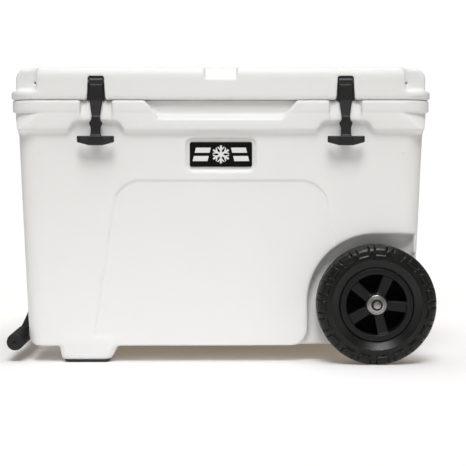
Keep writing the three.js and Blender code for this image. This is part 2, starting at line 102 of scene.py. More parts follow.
PIN_X, PIN_Y, PIN_Z = node_centre("latch_pin_right")
WHEEL_X, WHEEL_Y, WHEEL_Z = node_centre("tyre_back")
TYRE_RADIUS = node_box("tyre_back")[1][2] / 2
TYRE_HALF = (node_box("tyre_back")[1][1] - node_box("tyre_back")[0][1]) / 2
WELL_X, WELL_Z, WELL_RADIUS = WHEEL_X + 1, WHEEL_Z + 2, 113.8
WELL_WALL, WELL_SIDE = 173.0, 146.5  # the inner wall's |y|, and the x where the well ends below the axle
FOOT_X, FOOT_Y = node_centre("foot_pad_back")[:2]
FOOT_BOTTOM, FOOT_TOP = 3.8, 46.0
FOOT_OUTWARDS = 5  # from the middle of the frame's pad to the middle of the foot, away from the tub's middle
GRIP_REACH = 3  # how much further out the grip stands than in the frame
BAR_X, BAR_Z = node_centre("grip_back")[0] - GRIP_REACH, node_centre("grip_back")[2]
PIVOT_X, PIVOT_Z = node_centre("handle_pivot_rod")[0], node_centre("handle_pivot_rod")[2]
DRAIN_Z = node_centre("drain_plug")[2]
BADGE_LOW, BADGE_HIGH = node_box("badge_plate")
BADGE_Z = (BADGE_LOW[2] + BADGE_HIGH[2]) / 2
BADGE_HALF, BADGE_RECESS_HALF = (52.0, 20.7), (58.0, 28.0)


# --- Distance fields -----------------------------------------------------------------------------

def meet(a, b, radius=0.0):
    """Where both forms are, with the edge between them rounded."""
    corner = np.hypot(np.maximum(radius + a, 0), np.maximum(radius + b, 0))
    return np.minimum(-radius, np.maximum(a, b)) + corner


def merge(a, b, radius=0.0):
    """Where either form is, with a fillet between them."""
    return -meet(-a, -b, radius)


def carve(form, cutter, radius=0.0):
    return meet(form, -cutter, radius)


def rounded_rectangle(u, v, half_u, half_v, radius):
    past_u = np.abs(u) - (half_u - radius)
    past_v = np.abs(v) - (half_v - radius)
    outside = np.hypot(np.maximum(past_u, 0), np.maximum(past_v, 0))
    return outside + np.minimum(np.maximum(past_u, past_v), 0) - radius


def slab(value, low, high):
    """Between two levels of one coordinate."""
    return np.abs(value - (low + high) / 2) - (high - low) / 2


def block(x, y, z, low, high, radius=0.0):
    """A box with rounded edges."""
    past = [np.abs(c - (a + b) / 2) - ((b - a) / 2 - radius) for c, a, b in zip((x, y, z), low, high)]
    outside = np.sqrt(sum(np.maximum(p, 0) ** 2 for p in past))
    return outside + np.minimum(np.maximum(np.maximum(past[0], past[1]), past[2]), 0) - radius


def disc(u, v, centre_u, centre_v, radius):
    return np.hypot(u - centre_u, v - centre_v) - radius


def capsule(x, y, z, start, end, radius):
    """A round bar with ball ends."""
    start, along = np.array(start, float), np.array(end, float) - np.array(start, float)
    rel = [c - s for c, s in zip((x, y, z), start)]
    part = sum(r * a for r, a in zip(rel, along)) / float(along @ along)
    part = np.clip(part, 0, 1)
    return np.sqrt(sum((r - part * a) ** 2 for r, a in zip(rel, along))) - radius


# --- Meshes --------------------------------------------------------------------------------------

def mesh_object(name, points, triangles, quads):
    """An object from points in millimetres, with its faces turned outwards."""
    points = np.asarray(points, np.float64)
    triangles = np.asarray(triangles, np.int64).reshape(-1, 3)
    quads = np.asarray(quads, np.int64).reshape(-1, 4)
    fans = np.concatenate([triangles, quads[:, :3], quads[:, [0, 2, 3]]])
    a, b, c = (points[fans[:, i]] for i in range(3))
    if np.einsum("ij,ij->i", a, np.cross(b, c)).sum() < 0:
        triangles, quads = triangles[:, ::-1], quads[:, ::-1]
    mesh = bpy.data.meshes.new(name)
    corners = np.concatenate([triangles.ravel(), quads.ravel()]).astype(np.int32)
    starts = np.concatenate([
        np.arange(len(triangles)) * 3,
        len(triangles) * 3 + np.arange(len(quads)) * 4,
    ]).astype(np.int32)
    mesh.vertices.add(len(points))
    mesh.vertices.foreach_set("co", (points * MM).astype(np.float32).ravel())
    mesh.loops.add(len(corners))
    mesh.loops.foreach_set("vertex_index", corners)
    mesh.polygons.add(len(starts))
    mesh.polygons.foreach_set("loop_start", starts)
    mesh.update(calc_edges=True)
    mesh.validate()
    mesh.shade_smooth()
    piece = bpy.data.objects.new(name, mesh)
    bpy.context.scene.collection.objects.link(piece)
    return piece


def field_object(name, form, low, high, step, adaptivity=0.01):
    """The surface of a distance field inside a box, as an object. form takes x, y and z."""
    steps = np.array(step if np.ndim(step) else (step, step, step), float) * COARSE
    low = np.array(low, float) - 3 * steps
    counts = np.ceil((np.array(high, float) + 3 * steps - low) / steps).astype(int) + 1
    axes = [low[i] + steps[i] * np.arange(counts[i]) for i in range(3)]
    x, y, z = np.meshgrid(*[axis.astype(np.float32) for axis in axes], indexing="ij", sparse=True)
    reach = float(3 * steps.max())
    values = np.clip(form(x, y, z), -reach, reach).astype(np.float32)
    grid = openvdb.FloatGrid(background=reach)
    grid.copyFromArray(np.array(np.broadcast_to(values, counts), order="C"))
    points, triangles, quads = grid.convertToPolygons(isovalue=0, adaptivity=adaptivity)
    return mesh_object(name, np.asarray(points) * steps + low, triangles, quads)


def turned_object(name, axis, centre, profile, segments=64, crease=35):
    """A closed piece turned about an axis. The profile's points are (radius, place along the axis)."""
    profile = np.array(profile, float)
    count = len(profile)
    closed = profile[:, 0].min() > 1e-6
    angles = np.arange(segments) * 2 * math.pi / segments
    others = [i for i in range(3) if i != axis]
    points = np.zeros((segments, count, 3))
    points[:, :, others[0]] = centre[others[0]] + np.cos(angles)[:, None] * profile[:, 0]
    points[:, :, others[1]] = centre[others[1]] + np.sin(angles)[:, None] * profile[:, 0]
    points[:, :, axis] = profile[:, 1]
    quads, triangles = [], []
    for s in range(segments):
        here, there = s * count, ((s + 1) % segments) * count
        for i in range(count if closed else count - 1):
            j = (i + 1) % count
            ring = [here + i, there + i, there + j, here + j]
            if profile[i, 0] < 1e-6:
                triangles.append([ring[0], ring[2], ring[3]])
            elif profile[j, 0] < 1e-6:
                triangles.append([ring[0], ring[1], ring[2]])
            else:
                quads.append(ring)
    points = points.reshape(-1, 3)
    renumber = np.arange(len(points))
    for i in np.flatnonzero(profile[:, 0] < 1e-6):
        renumber[i::count] = i
    used, numbers = np.unique(renumber, return_inverse=True)
    triangles = numbers[np.array(triangles, int).reshape(-1, 3)]
    quads = numbers[np.array(quads, int).reshape(-1, 4)]
    piece = mesh_object(name, points[used], triangles, quads)
    piece.data.set_sharp_from_angle(angle=math.radians(crease))
    return piece


def softened(profile, size, closed=True):
    """The profile with each corner cut back by size and rounded with three points."""
    points = [np.array(p, float) for p in profile]
    result = []
    for i, point in enumerate(points):
        if not closed and i in (0, len(points) - 1):
            result.append(point)
            continue
        before, after = points[i - 1], points[(i + 1) % len(points)]
        back, ahead = before - point, after - point
        cut = min(size, np.linalg.norm(back) * 0.45, np.linalg.norm(ahead) * 0.45)
        first = point + back / np.linalg.norm(back) * cut
        last = point + ahead / np.linalg.norm(ahead) * cut
        for t in (0.0, 0.5, 1.0):
            result.append((1 - t) ** 2 * first + 2 * t * (1 - t) * point + t ** 2 * last)
    return result


# --- Materials -----------------------------------------------------------------------------------

def finish(name, color, roughness, metallic=0.0, specular=0.5, tone=0.03, patch=14.0, grain=900.0,
           depth=0.00003, spread=0.05):
    """A moulded, rubber or metal surface: slow tone drift, uneven gloss and fine relief.

    tone and spread are how far colour and roughness wander, patch and grain how fine their noise and the
    relief's are, and depth the relief's height in metres.
    """
    material = bpy.data.materials.new(name)
    material.use_nodes = True
    nodes, links = material.node_tree.nodes, material.node_tree.links
    shader = nodes["Principled BSDF"]
    shader.inputs["Metallic"].default_value = metallic
    shader.inputs["Specular IOR Level"].default_value = specular
    place = nodes.new("ShaderNodeTexCoord")

    def noise(size, detail):
        node = nodes.new("ShaderNodeTexNoise")
        node.inputs["Scale"].default_value = size
        node.inputs["Detail"].default_value = detail
        links.new(place.outputs["Object"], node.inputs["Vector"])
        return node.outputs["Fac"]

    drift = nodes.new("ShaderNodeMix")
    drift.data_type = "RGBA"
    drift.inputs[6].default_value = (*[c * (1 - tone) for c in color], 1)
    drift.inputs[7].default_value = (*[min(c * (1 + tone), 1) for c in color], 1)
    links.new(noise(patch, 4), drift.inputs[0])
    links.new(drift.outputs[2], shader.inputs["Base Color"])
    gloss = nodes.new("ShaderNodeMapRange")
    gloss.inputs["From Min"].default_value = 0.3
    gloss.inputs["From Max"].default_value = 0.7
    gloss.inputs["To Min"].default_value = max(roughness - spread, 0.02)
    gloss.inputs["To Max"].default_value = min(roughness + spread, 1)
    links.new(noise(patch * 9, 3), gloss.inputs["Value"])
    links.new(gloss.outputs["Result"], shader.inputs["Roughness"])
    relief = nodes.new("ShaderNodeBump")
    relief.inputs["Strength"].default_value = 0.5
    relief.inputs["Distance"].default_value = depth
    links.new(noise(grain, 2), relief.inputs["Height"])
    links.new(relief.outputs["Normal"], shader.inputs["Normal"])
    return material


WHITE = finish("white_shell", (0.83, 0.832, 0.82), 0.42, tone=0.012, grain=1500, depth=0.00004, spread=0.06)
FOAM = finish("foam", (0.78, 0.68, 0.42), 0.95, tone=0.1, patch=60, grain=700, depth=0.0004)
BLACK = finish("black_plastic", (0.01, 0.01, 0.0105), 0.5, specular=0.35, tone=0.15, grain=1600,
               depth=0.00004)
# A darker, rougher, less glossy copy of the wheel plastic for the disc behind the spokes: painted shade that
# makes the hub's windows look black.
HUB_BACK_SHADE = finish("hub_back_painted_shade", (0.003, 0.003, 0.003), 0.8, specular=0.1, tone=0.2, grain=1600)
WHEEL = finish("wheel_plastic", (0.007, 0.007, 0.0078), 0.42, specular=0.24, tone=0.15, grain=1400)
BADGE = finish("badge", (0.002, 0.002, 0.0019), 0.45, specular=0.15, tone=0.15, grain=2000, depth=0.00002)
MOTIF = finish("badge_motif", (0.78, 0.78, 0.77), 0.4, tone=0.03, grain=2000, depth=0.00001)
RUBBER = finish("black_rubber", (0.013, 0.013, 0.0135), 0.42, specular=0.4, tone=0.2, grain=1300,
                depth=0.00006)
GRIP = finish("grip_rubber", (0.0035, 0.0035, 0.004), 0.42, specular=0.3, tone=0.2, grain=1500, depth=0.0001)
TYRE = finish("tyre", (0.0035, 0.0036, 0.003), 0.32, specular=0.32, tone=0.25, patch=25, grain=1100,
              depth=0.00002)
STEEL = finish("steel", (0.37, 0.365, 0.34), 0.33, metallic=1.0, tone=0.08, grain=1800, depth=0.00002)
TUBE = finish("aluminium_tube", (0.012, 0.012, 0.0125), 0.4, metallic=0.2, specular=0.4, tone=0.15,
              grain=1800)


def dress(piece, body, slot, material, *nodes):
    """Gives a piece its material and its body, and hides the frame nodes that it stands for. The slot
    argument is not used.
    """
    piece.data.materials.clear()
    piece.data.materials.append(material)
    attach(piece, body)
    if nodes:
        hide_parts(*nodes)
    return piece


# --- Tub -----------------------------------------------------------------------------------------

def knuckle_form(x, y, z, spans, radius, extra, edge):
    """Hinge barrels over stretches of |x|."""
    barrel = disc(y, z, HINGE_Y, HINGE_Z, radius)
    along = np.minimum.reduce([slab(np.abs(x), low - extra, high + extra) for low, high in spans])
    return meet(barrel, along, edge)


LID_SPANS = [(HINGE_X - LID_KNUCKLE_HALF, HINGE_X + LID_KNUCKLE_HALF)]
TUB_SPANS = [
    (HINGE_X - HINGE_HALF, HINGE_X - LID_KNUCKLE_HALF - KNUCKLE_GAP),
    (HINGE_X + LID_KNUCKLE_HALF + KNUCKLE_GAP, HINGE_X + HINGE_HALF),
]


def wall_half(z, direction):
    """Half the wall's length (0) or depth (1) at height z."""
    rise = (z - DRAFT_LEVEL) / DRAFT_HEIGHT
    return WALL_LOW[direction] + (WALL_HIGH[direction] - WALL_LOW[direction]) * rise


def well_form(x, y, z):
    """The wheel wells: a round arch that flares out at the bottom, closed above the tyre by the end wall."""
    end_wall_thickness, tyre_room = 7, 7
    flare_depth, flare_start, flare_radius = 3, 60, 34
    arch = disc(x, z, WELL_X, WELL_Z, WELL_RADIUS)
    end_wall = x - (wall_half(z, 0) - end_wall_thickness)
    ceiling = z - (WELL_Z + WELL_RADIUS)
    end = np.maximum(np.maximum(WHEEL_X - x, ceiling), end_wall)
    round_tyre = disc(x, z, WHEEL_X, WHEEL_Z, TYRE_RADIUS + tyre_room)
    below = np.maximum(WELL_SIDE - x, z - WHEEL_Z)
    side_view = np.minimum(np.minimum(np.maximum(arch, end_wall), end), round_tyre)
    side_view = np.minimum(side_view, below)
    flare = np.maximum(z - TUB_BOTTOM + flare_depth, flare_start - x)
    side_view = merge(side_view, flare, flare_radius)
    return meet(side_view, WELL_WALL - np.abs(y), 10)


def panel_form(x, z):
    """Outline of the shallow front panel: straight top, slanted sides, round upper corners."""
    slope, cosine = 0.153, 0.9885
    side = (np.abs(x) - (PANEL_TOP_HALF + (PANEL_TOP - z) * slope)) * cosine
    return meet(side, z - PANEL_TOP, PANEL_CORNER)


def band_form(x, y, z):
    """The band round the tub's top.

    Its corners are undercut by a cone that starts at the lip, and its lower edge rises in an arch round
    each latch.
    """
    half_x, half_y = TUB_LIP[0] - 5, TUB_LIP[1] - 0.4
    taper, cone_slope, cone_cosine = 0.2, 0.57, 0.869
    arch_half, arch_rise = 43.5, 15.5
    square = rounded_rectangle(x, y, half_x - (LIP_BOTTOM - z) * taper, half_y, 9)
    cone = rounded_rectangle(x, y, half_x, half_y, 58) - (LIP_BOTTOM - 1 - z) * cone_slope
    side_x = np.abs(x) - PIN_X
    arch = meet(np.abs(side_x) - arch_half, z - (BAND_BOTTOM + arch_rise), 15)
    lower_edge = carve(BAND_BOTTOM - z, np.maximum(arch, y), 7)
    band = meet(square, cone * cone_cosine, 1.5)
    band = meet(band, lower_edge, 4.5)
    return meet(band, z - TUB_TOP, 2)


def foot_form(x, y, z):
    """The feet under the handle end, wider towards the tub and leaning a little towards the wheels."""
    half_length, half_depth, corner = 41.5, 48.3, 13
    rise = (z - FOOT_BOTTOM) / (TUB_BOTTOM - FOOT_BOTTOM)
    along = x - FOOT_X + 5 - 4 * rise
    across = np.abs(y) - FOOT_Y - FOOT_OUTWARDS
    foot_depth = half_depth + 1.5 * np.minimum(rise, 1)
    foot = rounded_rectangle(along, across, half_length + 8.5 * rise, foot_depth, corner)
    return meet(foot, slab(z, FOOT_BOTTOM, FOOT_TOP), 8)


def tub_body_form(x, y, z):
    """The tub's outside before anything is cut into it: wall, panels, band, lip, ridge and feet."""
    half_length = wall_half(z, 0)
    wall = rounded_rectangle(x, y, half_length, wall_half(z, 1), WALL_CORNER)
    body = meet(wall, TUB_BOTTOM - z, 4)
    body = np.maximum(body, meet(np.abs(x) - half_length, TUB_BOTTOM - z, 18))
    body = meet(body, z - LIP_BOTTOM)
    body = carve(body, np.maximum(panel_form(x, z), -(wall + PANEL_STEP)), 1.2)
    body = merge(body, band_form(x, y, z), 9)
    lip = rounded_rectangle(x, y, *TUB_LIP, LIP_CORNER)
    lip = meet(lip, slab(z, LIP_BOTTOM, TUB_TOP), 2.5)
    body = merge(body, lip, 1.5)
    # Stepped ridge along the lip, close under the lid.
    ridge_inner_x, ridge_inner_y, ridge_depth = 333, 198, 12
    for inset, top in ((0, TUB_TOP + 2), (5, LID_BOTTOM - 0.5)):
        outline = rounded_rectangle(x, y, TUB_LIP[0] - inset, TUB_LIP[1] - inset, LIP_CORNER - inset)
        ridge = meet(outline, -rounded_rectangle(x, y, ridge_inner_x, ridge_inner_y, 27), 0.5)
        body = merge(body, meet(ridge, slab(z, TUB_TOP - ridge_depth, top), 1.8), 0.5)
    return merge(body, foot_form(x, y, z), 4)


def cooling_space_form(x, y, z):
    """The tub's inside, a little wider at the top, with a sump at the drain."""
    floor, height = 76, 360
    half_x, half_y, draft = 236, 144, 6
    rise = (z - floor) / height
    cavity = rounded_rectangle(x - CAVITY_X, y, half_x + draft * rise, half_y + draft * rise, 40)
    cavity = meet(cavity, floor - z, 22)
    sump = block(x, y, z, (192, -22, 60), (214, 22, 100), 6)
    return merge(cavity, sump, 5)


def finger_recess_form(x, y, z):
    """The recess under the middle of the lid's front edge, with a sloped sill."""
    sill_height, sill_slope, sill_cosine = 409, 0.53, 0.88
    half_width, flank_slope = 102, 0.8
    front, back_wall = 215, 203
    sill = sill_height + (y + front) * sill_slope
    width = np.abs(x) - (half_width + (z - sill_height) * flank_slope)
    return meet(meet(width, (sill - z) * sill_cosine, 3), y + back_wall, 4)


def handle_recess_form(x, y, z):
    """The recess in the end wall for the tow handle's arms."""
    inner_x, outer_x, half_width, top = -284, -400, 75, 410
    lean, lean_height = 19, 376
    inner_wall = x - (inner_x - (z - DRAFT_LEVEL) * lean / lean_height)
    recess = meet(np.maximum(inner_wall, outer_x - x), np.abs(y) - half_width, 9)
    return meet(recess, z - top, 12)


def carve_bores(body, x, y, z):
    """Cuts the tub's bores: axle, handle rod, drain with its seat, foot screws and filling port."""
    ay = np.abs(y)
    rod_bore, rod_half_length = 6.4, 89
    drain_bore, drain_start, seat_radius, seat_start = 9.1, 192, 24, 303
    screw_bore, screw_spacing, screw_top = 2.9, 18, 24
    body = carve(body, disc(x, z, WHEEL_X, WHEEL_Z, AXLE_BORE), 0.6)
    body = carve(body, np.maximum(disc(x, z, PIVOT_X, PIVOT_Z, rod_bore), ay - rod_half_length), 0.6)
    body = carve(body, np.maximum(disc(y, z, 0, DRAIN_Z, drain_bore), drain_start - x), 0.8)
    body = carve(body, meet(disc(y, z, 0, DRAIN_Z, seat_radius), seat_start - x, 3), 2.5)
    screws = np.hypot(np.abs(x - FOOT_X) - screw_spacing, ay - FOOT_Y) - screw_bore
    body = carve(body, np.maximum(screws, z - screw_top))
    return carve(body, np.maximum(disc(x, y, 0, 0, FILL_PORT), slab(z, 0, TUB_BOTTOM + 7)), 0.8)


def add_hinge(body, x, y, z, own, others, gusset_back, gusset_low, gusset_high):
    """Cuts room for the other part's knuckles, then adds this part's own with their gussets and pin bore.

    gusset_back is the y of the gussets' slanted back face at height z.
    """
    gusset_root = 208
    body = carve(body, knuckle_form(x, y, z, others, KNUCKLE_CLEARANCE, KNUCKLE_GAP, 0), 1)
    barrels = knuckle_form(x, y, z, own, KNUCKLE, 0, 1.2)
    spans = np.minimum.reduce([slab(np.abs(x), low + 3, high - 3) for low, high in own])
    gusset = np.maximum(np.maximum(y - gusset_back, gusset_root - y), slab(z, gusset_low, gusset_high))
    barrels = merge(barrels, meet(gusset, spans, 1.5), 3)
    body = merge(body, barrels, 1.5)
    return carve(body, disc(y, z, HINGE_Y, HINGE_Z, HINGE_BORE), 0.5)


def tub_form(x, y, z):
    body = carve(tub_body_form(x, y, z), well_form(x, y, z), 5)
    body = carve(body, cooling_space_form(x, y, z), 4)
    body = carve(body, finger_recess_form(x, y, z), 2.5)
    # Channels for the latches, deeper towards the top.
    channel_floor, channel_slope, channel_cosine = 205.5, 0.3, 0.96
    depth = (y + channel_floor + (TUB_TOP - z) * channel_slope) * channel_cosine
    channel = meet(np.abs(np.abs(x) - PIN_X) - CHANNEL_HALF, depth, 2.5)
    body = carve(body, channel, 2.5)
    badge_recess = rounded_rectangle(x, z - BADGE_Z, *BADGE_RECESS_HALF, 12)
    body = carve(body, meet(badge_recess, y - BADGE_HIGH[1] - 0.3, 1.5), 2.2)
    body = carve(body, handle_recess_form(x, y, z), 4)
    body = carve_bores(body, x, y, z)
    gusset_back = HINGE_Y + 8 + (z - 432) * 0.8
    return add_hinge(body, x, y, z, TUB_SPANS, LID_SPANS, gusset_back, 400, 434)


def core_form(shell_form, low, high):
    """The foam inside a shell, between two heights."""
    return lambda x, y, z: np.maximum(shell_form(x, y, z) + SHELL_WALL, slab(z, low, high))


def make_tub():
    low, high = (-354, -218, 2), (354, 237, 453)
    shell = field_object("tub_shell_moulding", tub_form, low, high, 2.0)
    dress(shell, "tub", "white_shell", WHITE, "tub_shell")
    foam = core_form(tub_form, 9, TUB_TOP - SHELL_WALL)
    core = field_object("tub_foam_core", foam, low, high, 6.0)
    dress(core, "tub", "foam", FOAM, "tub_foam")


# --- Lid -----------------------------------------------------------------------------------------

def lid_top_form(x, y, z):
    """The raised top: bevelled edge, round ends, and a square step at each corner."""
    bevel_height, bevel_across, bevel_up = 11, 0.9, 0.44
    step_x, step_y, overlap = 306.5, 167, 9
    top = rounded_rectangle(x, y, LID_TOP_HALF, TUB_LIP[1], 30)
    top = meet(top, top * bevel_across + (z - LID_TOP + bevel_height) * bevel_up, 3)
    top = meet(top, z - LID_TOP, 2)
    top = np.maximum(top, meet(np.abs(x) - LID_TOP_HALF, z - LID_TOP, 18))
    top = np.maximum(top, LID_LIP_TOP - overlap - z)
    corner = meet(step_x - np.abs(x), step_y - np.abs(y), 14)
    return carve(top, meet(corner, LID_LIP_TOP - z, 7), 6)


def lid_plug_form(x, y, z):
    """The raised underside that drops into the tub's mouth."""
    floor, height, half_x, half_y, draft = 426, 20, 235, 143, 2
    rise = (z - floor) / height
    plug = rounded_rectangle(x - CAVITY_X, y, half_x + draft * rise, half_y + draft * rise, 36)
    return meet(plug, slab(z, floor, LID_BOTTOM + 6), 5)


def notch_form(x, y, z):
    """The notch at the middle of the front edge, sloped like a chute."""
    sill, slope, cosine, half_width = 475.3, 0.95, 0.72, 26.5
    front, reach = 215, 100
    chute = (sill + (y + front) * slope - z) * cosine
    return np.maximum(meet(chute, np.abs(x) - half_width, 2), y + reach)


def lid_form(x, y, z):
    lip = rounded_rectangle(x, y, LID_LIP_HALF, TUB_LIP[1], LIP_CORNER)
    lip = meet(lip, slab(z, LID_BOTTOM, LID_LIP_TOP), 4)
    body = merge(lip, lid_top_form(x, y, z), 2)
    body = merge(body, lid_plug_form(x, y, z), 2)
    body = carve(body, notch_form(x, y, z), 2.5)
    # A small vent hole in the face of each front step.
    vent = np.hypot(np.abs(x) - 313, z - 470) - 1.9
    body = carve(body, np.maximum(vent, slab(y, -190, -150)), 0.4)
    # Latch pockets and the bores of their pins.
    side_x = np.abs(x) - PIN_X
    pocket = np.abs(side_x) - (POCKET_HALF + (POCKET_TOP - z) * POCKET_FLARE)
    pocket = meet(pocket, z - POCKET_TOP, 3)
    body = carve(body, meet(pocket, y + 196, 3), 1.2)
    pin_bore = np.maximum(disc(y, z, PIN_Y, PIN_Z, LATCH_PIN_BORE), np.abs(side_x) - 26.3)
    body = carve(body, pin_bore, 0)
    body = carve(body, np.maximum(disc(x, y, CAVITY_X, 0, FILL_PORT), z - 430), 0.8)
    gusset_back = HINGE_Y + 8 - (z - 446) * 0.9
    return add_hinge(body, x, y, z, LID_SPANS, TUB_SPANS, gusset_back, 443, 466)


def seal_form(x, y, z):
    """The gasket: a flat ring round the lid's underside."""
    outer = rounded_rectangle(x - CAVITY_X, y, 257, 165, 53)
    inner = rounded_rectangle(x - CAVITY_X, y, 248, 156, 44)
    return meet(carve(outer, inner, 1), slab(z, GASKET_LOW[2], GASKET_HIGH[2]), 0.9)


def make_lid():
    low, high = (-354, -218, 425), (354, 237, 496)
    shell = field_object("lid_shell_moulding", lid_form, low, high, 2.0)
    dress(shell, "lid", "white_shell", WHITE, "lid_shell")
    foam = core_form(lid_form, 430, LID_TOP - SHELL_WALL)
    core = field_object("lid_foam_core", foam, low, high, 5.0)
    dress(core, "lid", "foam", FOAM, "lid_foam")
    seal = field_object("lid_gasket_ring", seal_form, GASKET_LOW, GASKET_HIGH, (2.5, 2.5, 0.5))
    dress(seal, "lid", "black_rubber", RUBBER, "lid_gasket")


# --- Latches -------------------------------------------------------------------------------------

def tapered(z, stations):
    """Half width at height z, run straight between stations of (height, half width)."""
    heights, halves = zip(*stations)
    return np.interp(z, heights, halves).astype(np.float32)


def latch_form(x, y, z):
    """One rubber latch: backing, strap, knob, neck and T-shaped pull. x is measured from its middle."""
    ax = np.abs(x)
    backing = ax - (LATCH_HALF + (POCKET_TOP - z) * POCKET_FLARE)
    backing = meet(backing, slab(z, 441.5, 476.5), 0.6)
    backing = meet(backing, slab(y, -211.5, -206), 0.8)
    loop = meet(disc(y, z, PIN_Y, PIN_Z, 7.9), ax - 12.1, 0.8)
    # The strap leans outwards below the lid's lower edge.
    bend_height, bend_length, bend_reach = 440, 36, 6.5
    outward = np.clip((bend_height - z) / bend_length, 0, 1) * bend_reach
    strap = ax - tapered(z, [(400, 6.8), (414, 7.0), (440, 10.6), (471, 11.4)])
    strap = meet(strap, slab(y + outward, -215.2, -210.2), 1.2)
    strap = meet(strap, slab(z, 400, 466), 1)
    body = merge(merge(backing, strap, 0.6), loop, 1.2)
    knob = ax - tapered(z, [(394.5, 8.2), (396, 8.9), (401.6, 11.2), (407.5, 7.6), (413, 6.9)])
    knob = meet(knob, slab(y, -224.5, -214.5), 1.8)
    knob = meet(knob, slab(z, 394.5, 413), 1)
    body = merge(body, knob, 1)
    neck = meet(ax - 8.3, np.abs(y + 221.5 - (z - 380) * 0.1) - 4.6, 1.6)
    neck = meet(neck, slab(z, 370, 398), 1)
    body = merge(body, neck, 1.2)
    # The pull: straight top edge, square ends and a lower edge that drops to a flat middle.
    pull_half, pull_middle, pull_top, pull_bottom = 30.6, 11.5, 380.6, 365
    lower = pull_bottom + np.maximum(ax - pull_middle, 0) * 0.27
    tilted_y = y + (z - 373) * 0.12
    pull = meet(ax - pull_half, np.maximum(lower - z, z - pull_top), 1.2)
    pull = meet(pull, slab(tilted_y, -231.3, -221), 2)
    ribs = block(ax - 19, tilted_y, z, (-6, -232.1, 372.5), (6, -229, 376.5), 0.8)
    body = merge(body, merge(pull, ribs, 0.6), 2.8)
    return carve(body, disc(y, z, PIN_Y, PIN_Z, LATCH_PIN_BORE), 0.5)


def make_latches():
    for end, side in ENDS.items():
        middle = side * PIN_X

        def form(x, y, z):
            return latch_form(x - middle, y, z)

        low, high = node_box("latch_strap_" + end)
        latch = field_object("latch_" + end + "_rubber", form, low - 1, high + 1, 0.8)
        dress(latch, "latch_" + end, "black_rubber", RUBBER, "latch_strap_" + end)


# --- Badge ---------------------------------------------------------------------------------------

def make_badge():
    face = BADGE_LOW[1]

    def plate_form(x, y, z):
        outline = rounded_rectangle(x, z - BADGE_Z, *BADGE_HALF, 3.5)
        return meet(outline, slab(y, face, BADGE_HIGH[1]), 0.7)

    plate = field_object("badge_plate_body", plate_form, BADGE_LOW, BADGE_HIGH, 0.7)
    dress(plate, "tub", "badge", BADGE, "badge_plate")

    def motif_form(x, y, z):
        """Snow crystal between two pairs of bold bars."""
        arm_half, arm_width, barb_start, barb_end, barb_width = 15, 1.7, 6.5, 12.5, 1.4
        bar_x, bar_half, bar_z, bar_height, bar_slant = 32, 12.5, 7, 4.3, 0.25
        up = z - BADGE_Z
        forms = []
        for turn in (0, 60, 120):
            cosine, sine = math.cos(math.radians(turn)), math.sin(math.radians(turn))
            along, across = np.abs(x * sine + up * cosine), np.abs(x * cosine - up * sine)
            forms.append(np.maximum(along - arm_half, across - arm_width))
            barb = np.abs(across - (along - barb_start) * 0.9) - barb_width
            forms.append(np.maximum(barb, np.maximum(along - barb_end, barb_start - along)))
        slant = np.abs(x) - bar_x + up * bar_slant
        forms.append(np.maximum(np.abs(slant) - bar_half, np.abs(np.abs(up) - bar_z) - bar_height))
        return np.maximum(np.minimum.reduce(forms), slab(y, face - 0.35, face + 0.3))

    low, high = BADGE_LOW - (0, 0.5, 0), (BADGE_HIGH[0], face + 0.5, BADGE_HIGH[2])
    motif = field_object("badge_motif_inlay", motif_form, low, high, (0.4, 0.2, 0.4))
    dress(motif, "tub", "badge", MOTIF)


# --- Wheels --------------------------------------------------------------------------------------

RIM_RADIUS = 61.5
SPOKES, FIRST_SPOKE = 5, 5  # their number, and the first one's turn in degrees


def hub_form(u, v, w):
    """A wheel's hub about its axle: u and w across, v outwards from the wheel's middle plane."""
    rim_inner, core_radius, spoke_half = 50.5, 18.5, 7.0
    hub_bore, bearing_bore, bearing_seat = 9, 14.8, 8.5
    radius = np.hypot(u, w)
    rim = carve(radius - RIM_RADIUS, radius - rim_inner, 1.5)
    rim = meet(rim, slab(v, -23, 17.5), 1.8)
    core = meet(radius - (core_radius + (16 - v) * 0.05), slab(v, -20.5, 15.5), 2)
    spokes = None
    for index in range(SPOKES):
        turn = math.radians(FIRST_SPOKE + 360 / SPOKES * index)
        along = u * math.cos(turn) - w * math.sin(turn)
        across = w * math.cos(turn) + u * math.sin(turn)
        spoke = meet(np.abs(across) - (spoke_half + along * 0.045), slab(along, 8, 54), 1)
        spokes = spoke if spokes is None else merge(spokes, spoke, 3)
    spokes = meet(spokes, slab(v, -10, 13.2), 1.8)
    body = merge(merge(rim, spokes, 3.5), core, 3)
    body = carve(body, radius - hub_bore, 1)
    return carve(body, np.maximum(radius - bearing_bore, bearing_seat - v), 0.5)


def hub_back_form(u, v, w):
    """The blind disc behind a hub's spokes, with a shallow dish."""
    radius = np.hypot(u, w)
    dish = meet(radius - 51.5, slab(v + radius * 0.05, -14, -11), 0.8)
    return carve(dish, radius - 18, 0.5)


TREAD_BLOCKS = 19
BLOCK_ARC = 12.3  # degrees of each wide shoulder block
FIRST_BLOCK = 3.65  # degrees clockwise from the top, seen from outside


